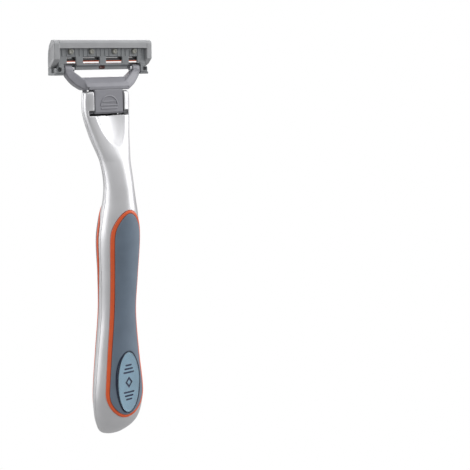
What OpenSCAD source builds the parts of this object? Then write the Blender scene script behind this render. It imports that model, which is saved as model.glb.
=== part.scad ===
// Cartridge razor: a contoured handle with two soft grips, and a removable
// pivoting three-blade cartridge on a yoke that plugs into the handle's fork.
// The handle stands along Z with its head up. The origin is the centre of the
// narrow neck, the thumb side faces -Y, the blades face +Y, and X = 0 is the
// mirror plane. All sizes are in millimetres.

/* [Handle] */
// Depth of the butt below the neck
butt_drop = 90; // [88:0.5:91]
// Height of the fork's tips above the neck
fork_top = 33.7; // [33.4:0.1:33.8]
// Wall thickness of the handle shells
wall = 2.2; // [1.8:0.1:2.4]
// Half width of the gap between the fork's prongs
fork_gap = 6.1; // [6.05:0.05:6.2]
// Height of the floor of the fork
fork_floor = 25.2; // [24.8:0.1:25.4]

/* [Grips] */
// Depth of the pocket that holds a grip and its trim ring
grip_depth = 1.0; // [0.8:0.1:1.2]
// How far a grip stands proud of the shell
grip_proud = 0.35; // [0.2:0.05:0.5]
// Width of the back trim ring, seen square on
ring_w = 1.05; // [0.8:0.05:1.3]
// Width of the front trim ring, seen square on
front_ring_w = 0.55; // [0.5:0.05:0.8]
// Half width of the trim ring's outline as a share of the handle's half width
grip_share = 0.825; // [0.78:0.005:0.84]
// How much wider the front ring gets towards its top
front_flare = 0.18; // [0.1:0.01:0.18]

/* [Badge] */
// Width of the badge
badge_w = 9.1; // [7:0.1:9.3]
// Length of the badge
badge_l = 21.8; // [18:0.1:22.4]
// Height of the badge's centre
badge_z = -68; // [-69:0.1:-67]

/* [Cartridge] */
// Overall width of the cartridge
head_w = 39.8; // [39.6:0.1:40]
// Height of the lowest blade's edge
edge_z = 43.4; // [43.3:0.05:43.45]
// Distance from one blade's edge to the next
blade_pitch = 1.18; // [1.14:0.02:1.18]
// Width of a blade strip
blade_w = 0.95; // [0.9:0.01:0.95]
// Thickness of a blade strip
blade_t = 0.12; // [0.1:0.01:0.15]
// Angle of the blades to the shaving plane
blade_tilt = 25; // [22:1:27]
// Number of dimples along the cap plate
dimple_n = 5; // [3:1:7]

/* [Pivot] */
// Radius of the yoke's pivot pins
pin_r = 0.7; // [0.6:0.05:0.8]
// Radial clearance of the pivot pins in the cartridge
pin_gap = 0.05; // [0.03:0.01:0.08]

/* [Hidden] */
n_side = 32;          // corners of a handle section
least_half = 0.3;     // least half size of a section
pivot_y = 9.2;        // axis on which the cartridge rocks
pivot_z = 41.0;
hinge_y = 5.55;       // axis of the release tab's living hinge
hinge_z = 33.75;
yoke_z = 33.95;       // underside of the yoke's body
tip_x = [12.3, 15.2]; // inner and outer face of the yoke's tips
tip_w = tip_x[1] - tip_x[0];
face_y = 12.3;        // shaving plane
cavity_top = 8;       // of the hollow in the handle
badge_rim = 0.4;      // width of the badge seat's wall
badge_gap = 0.06;     // round the badge seat
weight_lo = -70;
weight_hi = -20;
post_w = 2.2;                 // width of an end post
post_in = head_w / 2 - post_w;
post_taper = 0.19;            // slope of an end post's side towards the blades
strip_x = post_in - 0.1;      // half length of the blades and strips
blade_x = post_in - 0.4;
stake_x = [4.7, 12.9];        // places of the stake pins on each side
stake_z = 47.25;
lug_x = 15.6;                 // inner face of the lug that carries a pivot pin
foot_x = 18.6;                // outer face of a foot, inside the end post's wall
groove_x = 6.85;              // middle of the guide grooves and the yoke's legs

// ---------------------------------------------------------------- handle form

// One row for each place where the handle's form changes: its height, how far
// its centre sits towards the blades, half its width and half its depth.
FORM = [
    [-butt_drop, 8.2, 0.9, 0.7], [-88.6, 7.3, 4.5, 3.1], [-85, 4.9, 7.5, 5.2], [-80.5, 3.7, 9.0, 6.5],
    [-73, 3.0, 9.6, 7.1], [-58, 3.1, 7.95, 6.8], [-43, 2.7, 6.5, 6.5], [-30, 1.75, 6.8, 6.8],
    [-17, 1.15, 7.3, 7.5], [-9, 0.4, 6.6, 6.8], [-3, 0.0, 5.65, 5.7], [3, 0.4, 5.2, 5.2],
    [10, 2.2, 5.6, 4.8], [18, 5.3, 7.3, 4.0], [26, 7.2, 8.9, 2.85], [fork_top - 1, 7.2, 8.9, 2.6],
    [fork_top, 7.2, 8.2, 2.0]
];
form_last = len(FORM) - 1;

function clamp(v, lo, hi) = min(max(v, lo), hi);

// Row i of FORM, carried on in a straight line past either end
function form_row(i) =
    i < 0 ? 2 * FORM[0] - FORM[1]
    : i > form_last ? 2 * FORM[form_last] - FORM[form_last - 1]
    : FORM[i];

// The form between row i and the next, at the share t of the way up
function form_between(i, t) =
    let (p0 = form_row(i - 1), p1 = form_row(i), p2 = form_row(i + 1), p3 = form_row(i + 2),
         rise = p2[0] - p1[0],
         m1 = (p2 - p0) * rise / (p2[0] - p0[0]),
         m2 = (p3 - p1) * rise / (p3[0] - p1[0]))
    concat([p1[0] + t * rise],
           [for (k = [1:3]) (2*t*t*t - 3*t*t + 1) * p1[k] + (t*t*t - 2*t*t + t) * m1[k]
                            + (3*t*t - 2*t*t*t) * p2[k] + (t*t*t - t*t) * m2[k]]);

// The form at a height
function form_at(z) =
    let (i = clamp(max([for (k = [0:form_last - 1]) FORM[k][0] <= z ? k : 0]), 0, form_last - 1))
    form_between(i, (z - FORM[i][0]) / (FORM[i + 1][0] - FORM[i][0]));

// Sections are round up to the neck and grow square towards the fork
function squareness(z) = 2 + 2 * clamp((z - 10) / 16, 0, 1);

// Corner of a section at angle a, with its half sizes changed by grow
function section_corner(f, a, grow) =
    let (n = squareness(f[0]), c = cos(a), s = sin(a))
    [max(f[2] + grow, least_half) * sign(c) * pow(abs(c), 2 / n),
     f[1] + max(f[3] + grow, least_half) * sign(s) * pow(abs(s), 2 / n), f[0]];

// Solid between two sections: side 0 is whole, -1 the back half, 1 the front
module slab(low, high, grow, side) {
    step = 360 / n_side;
    n = side == 0 ? n_side : n_side / 2 + 1;
    angles = [for (k = [0:n - 1]) side < 0 ? 180 + step * k : step * k];
    hull()
        polyhedron(
            concat([for (a = angles) section_corner(low, a, grow)],
                   [for (a = angles) section_corner(high, a, grow)]),
            concat([[for (k = [0:n - 1]) k], [for (k = [0:n - 1]) 2 * n - 1 - k]],
                   [for (k = [0:n - 1]) [k, n + k, n + (k + 1) % n, (k + 1) % n]]));
}

// Heights of the sections from lo to hi: three to each row of FORM
function form_heights(lo, hi) =
    let (inner = [for (i = [0:form_last - 1], t = [0, 0.35, 0.7]) form_between(i, t)[0]])
    concat([lo], [for (z = inner) if (z > lo + 0.4 && z < hi - 0.4) z], [hi]);

module handle_form(grow = 0, side = 0, lo = -butt_drop, hi = fork_top) {
    z = form_heights(lo, hi);
    for (i = [0:len(z) - 2])
        slab(form_at(z[i]), form_at(z[i + 1]), grow, side);
}

// Outline of a trim ring, seen along Y: it follows the handle's width, closes
// in a round end with a short flat at its tip, at the top and bottom, and grows
// wider by the share flare from flare_lo up.
function ring_half(z, lo, hi, flare) =
    let (end_lo = 10, end_hi = 9, flare_lo = -50, flare_rise = 28,
         d = z < lo + end_lo ? (lo + end_lo - z) / end_lo : z > hi - end_hi ? (z - hi + end_hi) / end_hi : 0,
         t = clamp((z - flare_lo) / flare_rise, 0, 1))
    grip_share * (1 + flare * t * t * (3 - 2 * t)) * form_at(z)[2] * sqrt(max(1 - d * d, 0.002));

module ring_outline(lo, hi, flare) {
    rise = hi - lo;
    z = [for (k = [0:30]) lo + rise * (1 - cos(6 * k)) / 2];
    right = [for (v = z) [ring_half(v, lo, hi, flare), v]];
    left = [for (k = [len(z) - 1:-1:0]) [-right[k][0], right[k][1]]];
    polygon(concat(right, left));
}

// Outlines of the two grips with their rings; inset shrinks them
module grip_outline(side, inset = 0) {
    offset(delta = -inset)
        if (side < 0) ring_outline(-81.2, -6.5, 0);
        else ring_outline(-85.5, -3.4, front_flare);
}

// A prism right through the handle along Y
module across() {
    rotate([90, 0, 0])
        linear_extrude(40, center = true)
            children();
}

module grip_skin(side, grow) {
    difference() {
        handle_form(grow, side, -86.5, -2);
        handle_form(-grip_depth, 0, -86.6, -1.9);
    }
}

module badge_prism(grow, y_out, y_in) {
    translate([0, y_in, badge_z])
        rotate([90, 0, 0])
            scale([(badge_w / 2 + grow) / 10, (badge_l / 2 + grow) / 10, 1])
                cylinder(r = 10, h = y_in - y_out, $fn = 40);
}

// ---------------------------------------------------------------- fork form

// Everything that is cut from the top of the handle to take the cartridge
module fork_cuts() {
    // gap between the prongs
    translate([-fork_gap, 0, fork_floor])
        cube([2 * fork_gap, 14, 12]);
    // guide grooves for the release tab's lip, and pockets for the yoke's legs
    for (s = [-1, 1]) {
        translate([s * groove_x - 0.9, 6.2, fork_floor - 0.1])
            cube([1.8, 2.3, 12]);
        translate([s * groove_x - 1.1, 8.35, 27.6])
            cube([2.2, 4, 8]);
        // window at the foot of each groove
        translate([s * (groove_x + 0.2) - 1, 2, fork_floor])
            cube([2, 5, 1.7]);
    }
    dock_seat(fork_floor + 0.01);
    thumb_scoop();
}

// Body of the dock block: a root below the fork's floor, with an ear at each
// side that closes the foot of the groove there
module dock_seat(top) {
    translate([-5.9, 5.9, 21.4])
        cube([11.8, 3.3, top - 21.4]);
    translate([-7.8, 6.3, 24.3])
        cube([15.6, 2.2, top - 24.3]);
}

// Shallow dish for the thumb, widest at the fork's floor, and leaning with the
// back of the handle
module thumb_scoop() {
    lean = 22.5;
    intersection() {
        translate([0, 2.86, 26.07])
            rotate([-lean, 0, 0])
                scale([7.0, 3.0, 12.7])
                    sphere(1, $fn = 48);
        translate([-10, -10, 0])
            cube([20, 20, fork_floor + 0.3]);
    }
}

// ---------------------------------------------------------------- handle parts

module shell(side) {
    difference() {
        handle_form(0, side);
        handle_form(-wall, 0, -86, cavity_top);
        difference() {
            across() grip_outline(side);
            handle_form(-grip_depth, 0, -88, 1);
            translate([-20, side < 0 ? 3 : -37, -100])
                cube([40, 40 - 3 * (1 + side) / 2, 110]);
        }
        fork_cuts();
        if (side < 0) badge_prism(badge_rim + badge_gap, -10, -2.6);
    }
}

module handle_back_shell() {
    color([0.78, 0.78, 0.8]) shell(-1);
}

module handle_front_shell() {
    color([0.78, 0.78, 0.8]) shell(1);
}

module handle_weight() {
    color([0.45, 0.46, 0.48])
        handle_form(-wall - 0.05, 0, weight_lo, weight_hi);
}

module grip(side) {
    difference() {
        intersection() {
            grip_skin(side, grip_proud);
            across() grip_outline(side, side < 0 ? ring_w : front_ring_w);
        }
        if (side < 0) badge_prism(badge_rim + badge_gap, -10, 0);
    }
}

module back_grip() {
    color([0.42, 0.46, 0.52]) grip(-1);
}

module front_grip() {
    color([0.42, 0.46, 0.52]) grip(1);
}

module trim_ring(side) {
    intersection() {
        grip_skin(side, grip_proud - 0.1);
        across()
            difference() {
                grip_outline(side);
                grip_outline(side, side < 0 ? ring_w : front_ring_w);
            }
    }
}

module back_trim_ring() {
    color([0.88, 0.36, 0.14]) trim_ring(-1);
}

module front_trim_ring() {
    color([0.88, 0.36, 0.14]) trim_ring(1);
}

module badge_seat() {
    color([0.14, 0.17, 0.24])
        difference() {
            badge_prism(badge_rim, -3.9, -2.6);
            badge_prism(0, -5, -3.4);
        }
}

module badge_plate() {
    color([0.62, 0.74, 0.8])
        badge_prism(0, -3.7, -3.4);
}

module badge_dome() {
    color([0.8, 0.9, 0.95, 0.5])
        intersection() {
            badge_prism(0, -6, -3.7);
            translate([0, -3.1, badge_z])
                scale([badge_w / 2 + 1.6, 1.5, badge_l / 2 + 3.2])
                    sphere(1, $fn = 48);
        }
}

// Black insert at the foot of the fork, with the tongue that guides the yoke
module dock_block() {
    color([0.08, 0.08, 0.09]) {
        dock_seat(fork_floor - 0.1);
        translate([-5.6, 8.3, fork_floor - 0.2])
            cube([11.2, 0.9, 37.1 - fork_floor]);
    }
}

// ---------------------------------------------------------------- yoke

// Stations of the yoke's bowed arm, from the body to the tip: X, Z, half its
// width, and how far it reaches to the back
ARM = [[8.6, yoke_z + 1.6, 1.6, 5.8], [10.9, 37.1, 1.75, 6.7], [13.1, 39.1, 1.6, 7.6],
       [tip_x[0] + tip_w / 2, 40.15, tip_w / 2, 7.9]];

module arm_station(s) {
    translate([s[0], 10.3, s[1]])
        rotate([90, 0, 0]) cylinder(r = s[2], h = 10.3 - s[3], $fn = 32);
}

// One arm of the yoke, on the +X side
module yoke_arm() {
    difference() {
        union() {
            for (k = [0:len(ARM) - 2])
                hull() {
                    arm_station(ARM[k]);
                    arm_station(ARM[k + 1]);
                }
            translate([tip_x[0], 7.9, 39.6])
                cube([tip_w, 2.6, pivot_z - 39.6]);
            translate([tip_x[0], pivot_y, pivot_z])
                rotate([0, 90, 0]) cylinder(r = 1.3, h = tip_w, $fn = 48);
        }
        // cup for the return spring
        translate([tip_x[0] - 2.2, pivot_y, pivot_z])
            rotate([0, 90, 0]) cylinder(r = 1.1, h = 2.2, $fn = 48);
    }
    // pivot pin, a little longer than the tip on both sides
    translate([tip_x[0] - 0.9, pivot_y, pivot_z])
        rotate([0, 90, 0]) cylinder(r = pin_r, h = tip_w + 2, $fn = 48);
    // leg that lies in the fork's pocket
    translate([groove_x - 0.85, 8.65, 28])
        cube([1.7, 1.3, yoke_z + 0.25 - 28]);
}

module yoke() {
    color([0.6, 0.6, 0.63]) {
        difference() {
            // body: its back leans forward above the fork
            rotate([90, 0, 90])
                linear_extrude(17.6, center = true)
                    polygon([[4.95, yoke_z], [4.95, 35.2], [5.6, 36.3], [7.9, 38.2], [10.3, 38.2], [10.3, yoke_z]]);
            // cavity for the dock's tongue, open below and through a slot in front
            translate([-8, 8, 33])
                cube([16, 1.5, 4.4]);
            translate([-8, 9, 35.2])
                cube([16, 3, 2.2]);
            // groove over the release tab's hinge bead
            translate([-5.9, hinge_y, hinge_z])
                rotate([0, 90, 0]) cylinder(r = 0.65, h = 11.8, $fn = 32);
        }
        yoke_arm();
        mirror([1, 0, 0]) yoke_arm();
    }
}

// A small coil of wire round the inner end of each pivot pin
module return_springs() {
    color([0.75, 0.76, 0.78])
        for (s = [-1, 1], k = [0:2])
            translate([s * (11.55 + 0.25 * k), pivot_y, pivot_z])
                rotate([0, 90, 0])
                    rotate_extrude($fn = 32)
                        translate([pin_r + 0.17, 0]) circle(0.12, $fn = 16);
}

module release_tab() {
    color([0.55, 0.55, 0.58]) {
        // panel hung from the hinge bead
        translate([-5.7, 4.95, 26.2])
            cube([11.4, 1.15, hinge_z - 26.2]);
        translate([-5.7, hinge_y, hinge_z])
            rotate([0, 90, 0]) cylinder(r = 0.6, h = 11.4, $fn = 32);
        // lip that runs forward and catches beside the fork's floor
        translate([-5.7, 5.5, 25.8])
            cube([11.4, 1.5, 0.65]);
        translate([-7.3, 6.4, 25.8])
            cube([14.6, 0.7, 0.7]);
        thumb_mark();
    }
}

// Raised half moon with three bars, where the thumb presses
module thumb_mark() {
    translate([0, 5, 28.5])
        rotate([90, 0, 0])
            linear_extrude(0.25) {
                intersection() {
                    difference() {
                        circle(3.6, $fn = 48);
                        circle(3.15, $fn = 48);
                    }
                    translate([-4, 0]) square([8, 4]);
                }
                // each bar: half its length, and its height
                for (b = [[3.4, -1.1], [3.4, 0], [2.7, 1.25]])
                    translate([-b[0], b[1]]) square([2 * b[0], 0.4]);
            }
}

// ---------------------------------------------------------------- cartridge

// Sweeps a profile of [y, z] points along X to both sides
module bar(points, half) {
    rotate([90, 0, 90])
        linear_extrude(2 * half, center = true)
            polygon(points);
}

// Moulded lower frame: back wall with windows, beam behind the guard, and feet
module guard_frame() {
    color([0.52, 0.53, 0.55])
        difference() {
            union() {
                bar([[8.3, 42.4], [8.3, 47.9], [9.0, 47.9], [9.0, 42.4]], post_in);
                bar([[9.0, 40.7], [9.0, 42.8], [10.85, 42.8], [10.85, 40.7]], post_in);
                bar([[8.3, 42.4], [8.3, 42.2], [9.0, 41.6], [9.0, 42.4]], post_in);
                for (s = [-1, 1]) foot(s);
                for (s = [-1, 1], x = [0.9:1.7:16.5])
                    if (abs(x - stake_x[0]) > 1.2 && abs(x - stake_x[1]) > 1.2)
                        translate([s * x - 0.12, 8.1, 45.3])
                            cube([0.24, 0.3, 2.6]);
            }
            for (s = [-1, 1]) {
                window(s * 4.65, 6.7);
                window(s * 12.6, 3.6);
                // room for the yoke's arm, behind a thin wall
                translate([s * (lug_x - 2.5) - 2.5, 7, 38])
                    cube([5.0, 3.6, 4.85]);
                // bearing of the pivot pin
                translate([s * (lug_x + 0.3) - 0.6, pivot_y, pivot_z])
                    rotate([0, 90, 0]) cylinder(r = pin_r + pin_gap, h = 1.2, $fn = 48);
                // blind hole behind each foot
                translate([s * 17.4, 8.1, 40.95])
                    rotate([-90, 0, 0]) cylinder(r = 0.8, h = 1.2, $fn = 32);
                for (x = stake_x)
                    translate([s * x, 8, stake_z])
                        rotate([-90, 0, 0]) cylinder(r = 0.5, h = 1.2, $fn = 24);
            }
            gate();
        }
}

module window(x, w) {
    translate([x - w / 2, 7.9, 42.8])
        cube([w, 1.4, 2.3]);
}

// One foot of the lower frame, on the side s
module foot(s) {
    foot_mid = s * (lug_x + foot_x) / 2;
    foot_half = (foot_x - lug_x) / 2;
    shoe_end = head_w / 2 - 0.7;
    // lug that carries the pivot pin
    translate([s * (post_in + lug_x) / 2 - (post_in - lug_x) / 2, 8.1, 39.8])
        cube([post_in - lug_x, 2.75, 2.7]);
    translate([foot_mid - foot_half, 8.1, 39.8])
        cube([2 * foot_half, 2.75, 1.7]);
    translate([foot_mid - foot_half, 10.4, 39.0])
        cube([2 * foot_half, 2.3, 1.75]);
    // flat shoe under the end of the cartridge
    translate([s * (lug_x + shoe_end) / 2 - (shoe_end - lug_x) / 2, 8.4, 39.0])
        cube([shoe_end - lug_x, 4.3, 0.8]);
    // web that closes the end below the parting line
    translate([s * (foot_x + shoe_end) / 2 - (shoe_end - foot_x) / 2, 10.4, 39.8])
        cube([shoe_end - foot_x, 2.3, 1.7]);
}

// Gate of the guard bar: a rounded plug that shows behind the frame
module gate() {
    for (x = [-0.6, 0.6])
        translate([x, 8.9, 41.55])
            rotate([-90, 0, 0]) cylinder(r = 0.6, h = 1.95, $fn = 32);
    translate([-0.6, 8.9, 40.95])
        cube([1.2, 1.95, 1.2]);
}

// Moulded upper frame: smooth top bar and the two end posts
module cap_frame() {
    color([0.66, 0.67, 0.69]) {
        difference() {
            bar(concat([[7.1, 48.4], [7.1, 49.6]],
                       [for (a = [160:-20:100]) [8.3 + 1.2 * cos(a), 49.6 + 1.2 * sin(a)]],
                       [[8.3, 50.8], [9.1, 50.8], [11.3, 48.7], [10.9, 48.25], [10.6, 47.9], [10.6, 46.65],
                        [9.0, 46.65], [9.0, 47.9], [7.6, 47.9]]), post_in);
            strip_bed(0);
            for (s = [-1, 1], x = stake_x)
                translate([s * x, 8.5, stake_z])
                    rotate([-90, 0, 0]) cylinder(r = 0.5, h = 1.7, $fn = 24);
        }
        for (s = [-1, 1]) end_post(s);
    }
}

// Outer face of an end post at depth y: straight behind, then tapering in
function post_side(y) = head_w / 2 - post_taper * max(y - 9, 0);

// The end post's side wall is cut away behind, above the foot
module end_post(s) {
    intersection() {
        translate([s * (head_w - post_w) / 2, 0, 0])
            bar([[9.0, 42.5], [7.1, 44.4], [7.1, 49.6], [7.4, 50.4], [8.3, 50.8], [9.1, 50.8], [11.3, 48.9],
                 [12.35, 46.5], [12.7, 43.6], [12.7, 41.5], [10.6, 41.5]], post_w / 2);
        translate([0, 0, 40])
            linear_extrude(12)
                polygon([for (y = [6, 9, 14]) [s * post_side(y), y], [0, 14], [0, 6]]);
    }
    // ribs down the outer side
    for (k = [0:4])
        translate([s * post_side(8.2 + 0.9 * k) - 0.1, 7.9 + 0.9 * k, 44.6 - 0.5 * k])
            cube([0.2, 0.3, 4.6 + 0.1 * k]);
}

// Bed of the lubricating strip on the sloping top of the cap
module strip_bed(proud) {
    translate([0, 9.1, 50.8])
        rotate([-43.7, 0, 0])
            translate([-strip_x, 0.25, -0.7])
                cube([2 * strip_x, 2.5, 0.75 + proud]);
}

module lube_strip() {
    color([0.83, 0.42, 0.26])
        intersection() {
            strip_bed(0.15);
            translate([-strip_x, 5, 45]) cube([2 * strip_x, 9, 9]);
        }
}

module cap_plate() {
    color([0.68, 0.72, 0.74])
        difference() {
            bar([[11.3, 48.69], [12.1, 46.85], [11.95, 46.68], [10.6, 46.68], [10.6, 47.9], [10.9, 48.25]],
                strip_x);
            for (k = [0:dimple_n - 1])
                translate([4.5 * (k - (dimple_n - 1) / 2), 12.15, 47.7])
                    rotate([65, 0, 0]) {
                        translate([-0.6, 0, -0.3]) cylinder(r = 0.4, h = 1, $fn = 24);
                        translate([0.6, 0, -0.3]) cylinder(r = 0.4, h = 1, $fn = 24);
                        translate([-0.6, -0.4, -0.3]) cube([1.2, 0.8, 1]);
                    }
        }
}

module guard_bar() {
    color([0.87, 0.43, 0.26]) {
        bar(concat([[10.85, 40.9]],
                   [for (a = [-80:20:80]) [11.6 + 1.05 * cos(a), 41.95 + 1.05 * sin(a)]],
                   [[10.85, 42.95]]), strip_x);
        gate();
    }
}

module stake_pins() {
    color([0.6, 0.61, 0.6])
        for (s = [-1, 1], x = stake_x)
            translate([s * x, 7.55, stake_z]) {
                // broad head against the frame's back, and shank off its centre
                translate([0, 0, -0.37])
                    rotate([-90, 0, 0]) cylinder(r = 0.98, h = 0.75, $fn = 32);
                translate([0, 0.55, 0])
                    rotate([-90, 0, 0]) cylinder(r = 0.5, h = 2.05, $fn = 24);
            }
}

// Blade i, counted from the guard; its edge lies in the shaving plane
module blade(i) {
    color([0.9, 0.91, 0.92])
        translate([0, face_y, edge_z + blade_pitch * i])
            rotate([blade_tilt, 0, 0])
                bar([[0, 0], [0, blade_w], [-blade_t, blade_w], [-blade_t, 0.4]], blade_x);
}

// Point in the plane across a blade, turned with the blade's tilt
function tilted(y, z) =
    [y * cos(blade_tilt) - z * sin(blade_tilt), y * sin(blade_tilt) + z * cos(blade_tilt)];

// Bent strip behind blade i: its short leg carries the blade, its long leg
// runs back to the frame's wall.
module blade_support(i) {
    t = 0.22;
    reach = 3.2;
    top = tilted(-blade_t, blade_w);
    heel = tilted(-blade_t - t, blade_w - 0.14);
    color([0.75, 0.76, 0.78])
        translate([0, face_y, edge_z + blade_pitch * i])
            bar([tilted(-blade_t, 0.4), top, [-reach, top[1]], [-reach, top[1] - t], [heel[0], top[1] - t],
                 tilted(-blade_t - t, 0.5)], blade_x);
}

// Comb between two supports, with blocks at the given places along X
module spacer(i, rail_y, rail_t, blocks) {
    low = edge_z + blade_pitch * i + blade_w * cos(blade_tilt) - 0.04;
    tall = blade_pitch - 0.24;
    color([0.62, 0.64, 0.66]) {
        translate([-blade_x, rail_y, low])
            cube([2 * blade_x, 0.8, rail_t]);
        for (b = blocks)
            translate([b[0], 9.15, low])
                cube([b[1] - b[0], 2.0, tall]);
    }
}

module spacer_lower() {
    spacer(0, 9.6, 0.4, [[-17.2, -14.2], [-10.75, -7.9], [-1.5, 1.5], [7.9, 10.75], [14.2, 17.2]]);
}

module spacer_upper() {
    spacer(1, 9.15, blade_pitch - 0.24,
           [for (s = [-1, 1], x = [4.3, 8.9, 13.3]) [s * x - 0.45, s * x + 0.45]]);
}

module blade_1() { blade(0); }
module blade_2() { blade(1); }
module blade_3() { blade(2); }
module blade_support_1() { blade_support(0); }
module blade_support_2() { blade_support(1); }
module blade_support_3() { blade_support(2); }

handle_back_shell();
handle_front_shell();
handle_weight();
back_grip();
front_grip();
back_trim_ring();
front_trim_ring();
badge_seat();
badge_plate();
badge_dome();
dock_block();
yoke();
return_springs();
release_tab();
guard_frame();
cap_frame();
stake_pins();
guard_bar();
cap_plate();
lube_strip();
blade_1();
blade_2();
blade_3();
blade_support_1();
blade_support_2();
blade_support_3();
spacer_lower();
spacer_upper();
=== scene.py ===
import math

import bmesh
import bpy
import numpy as np
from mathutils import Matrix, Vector


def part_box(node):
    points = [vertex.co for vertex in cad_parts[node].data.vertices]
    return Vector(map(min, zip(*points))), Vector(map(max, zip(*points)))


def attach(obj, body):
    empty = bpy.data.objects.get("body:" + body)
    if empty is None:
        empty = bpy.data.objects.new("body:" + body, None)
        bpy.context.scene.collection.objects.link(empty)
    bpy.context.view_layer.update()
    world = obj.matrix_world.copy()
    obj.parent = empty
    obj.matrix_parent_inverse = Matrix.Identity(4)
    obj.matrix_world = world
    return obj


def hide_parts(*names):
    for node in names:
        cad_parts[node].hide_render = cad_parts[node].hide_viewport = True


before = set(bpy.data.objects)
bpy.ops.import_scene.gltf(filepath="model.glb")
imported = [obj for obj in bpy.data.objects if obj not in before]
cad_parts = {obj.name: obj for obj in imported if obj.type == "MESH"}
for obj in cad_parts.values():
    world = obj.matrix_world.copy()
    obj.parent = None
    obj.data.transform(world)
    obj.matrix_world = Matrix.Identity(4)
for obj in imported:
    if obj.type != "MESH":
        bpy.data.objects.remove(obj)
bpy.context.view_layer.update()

# Cartridge razor. The frame is in metres; shapes here are worked out in
# millimetres, in the same axes: +Z up the handle, -Y the thumb side, +Y the
# blades, X = 0 the mirror plane, and the origin in the neck.
MM = 0.001


def node_box(node):
    """Lowest and highest corner of a CAD node, in millimetres."""
    low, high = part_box(node)
    return np.array(low) / MM, np.array(high) / MM


# ------------------------------------------------------------------ camera

CAMERA_AZIMUTH = -34.0      # where the camera stands; 0 looks along +Y
CAMERA_REACH = 0.38         # from the razor's axis
CAMERA_HEIGHT = 0.050
CAMERA_HEADING = -40.3      # looks a little to the right of the razor
CAMERA_PITCH = 9.95         # and down
CAMERA_LENS = 84.19

camera = bpy.data.objects.new("camera", bpy.data.cameras.new("camera"))
bpy.context.scene.collection.objects.link(camera)
bpy.context.scene.camera = camera
camera.data.lens = CAMERA_LENS
camera.data.clip_start, camera.data.clip_end = 0.01, 20.0
stand, look = math.radians(CAMERA_AZIMUTH), math.radians(CAMERA_HEADING)
camera.location = (CAMERA_REACH * math.sin(stand), 0.0027 - CAMERA_REACH * math.cos(stand), CAMERA_HEIGHT)
pitch = math.radians(CAMERA_PITCH)
camera.rotation_mode = "QUATERNION"
camera.rotation_quaternion = Vector(
    (-math.sin(look) * math.cos(pitch), math.cos(look) * math.cos(pitch), -math.sin(pitch))
).to_track_quat("-Z", "Y")

# ------------------------------------------------------------------ materials


class Finish:
    """A procedural material, put together from a few layers of noise."""

    def __init__(self, name, colour, rough, metal=0.0, **sockets):
        self.name = name
        self.mat = bpy.data.materials.new(name)
        self.mat.use_nodes = True
        self.tree = self.mat.node_tree
        self.shader = self.tree.nodes["Principled BSDF"]
        self.colour = colour
        self.rough = rough
        self.shader.inputs["Base Color"].default_value = (*colour, 1)
        self.shader.inputs["Roughness"].default_value = rough
        self.shader.inputs["Metallic"].default_value = metal
        for socket, value in sockets.items():
            self.shader.inputs[socket.replace("_", " ")].default_value = value
        self.place = self.tree.nodes.new("ShaderNodeTexCoord").outputs["Object"]
        self.normal = None

    def node(self, kind, **values):
        made = self.tree.nodes.new(kind)
        for key, value in values.items():
            setattr(made, key, value)
        return made

    def stretched(self, size_mm):
        """Coordinates in which one unit is size_mm long on each axis."""
        mapping = self.node("ShaderNodeMapping")
        mapping.inputs["Scale"].default_value = [1 / (MM * s) for s in size_mm]
        self.tree.links.new(self.place, mapping.inputs["Vector"])
        return mapping.outputs["Vector"]

    def noise(self, size_mm, detail=2.0):
        size_mm = size_mm if isinstance(size_mm, tuple) else (size_mm,) * 3
        made = self.node("ShaderNodeTexNoise")
        made.inputs["Scale"].default_value = 1.0
        made.inputs["Detail"].default_value = detail
        self.tree.links.new(self.stretched(size_mm), made.inputs["Vector"])
        return made.outputs["Fac"]

    def ranged(self, source, low, high, at_low=0.3, at_high=0.7):
        made = self.node("ShaderNodeMapRange")
        span = {"From Min": at_low, "From Max": at_high, "To Min": low, "To Max": high}
        for socket, value in span.items():
            made.inputs[socket].default_value = value
        self.tree.links.new(source, made.inputs["Value"])
        return made.outputs["Result"]

    def mottle(self, size_mm, spread, detail=3.0):
        """Colour that drifts by the share spread about the base colour."""
        mix = self.node("ShaderNodeMix", data_type="RGBA")
        mix.inputs["A"].default_value = (*[c * (1 - spread) for c in self.colour], 1)
        mix.inputs["B"].default_value = (*[min(c * (1 + spread), 1) for c in self.colour], 1)
        self.tree.links.new(self.ranged(self.noise(size_mm, detail), 0, 1), mix.inputs["Factor"])
        self.tree.links.new(mix.outputs["Result"], self.shader.inputs["Base Color"])
        return self

    def uneven(self, size_mm, spread, detail=3.0):
        """Roughness that drifts by spread."""
        drift = self.ranged(self.noise(size_mm, detail), self.rough - spread, self.rough + spread)
        self.tree.links.new(drift, self.shader.inputs["Roughness"])
        return self

    def grain(self, size_mm, depth_mm, detail=1.0, source=None):
        """Relief of about depth_mm, on top of any relief made before."""
        bump = self.node("ShaderNodeBump")
        bump.inputs["Strength"].default_value = 1.0
        bump.inputs["Distance"].default_value = depth_mm * MM
        self.tree.links.new(source or self.noise(size_mm, detail), bump.inputs["Height"])
        if self.normal:
            self.tree.links.new(self.normal, bump.inputs["Normal"])
        self.normal = bump.outputs["Normal"]
        self.tree.links.new(self.normal, self.shader.inputs["Normal"])
        return self


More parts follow.
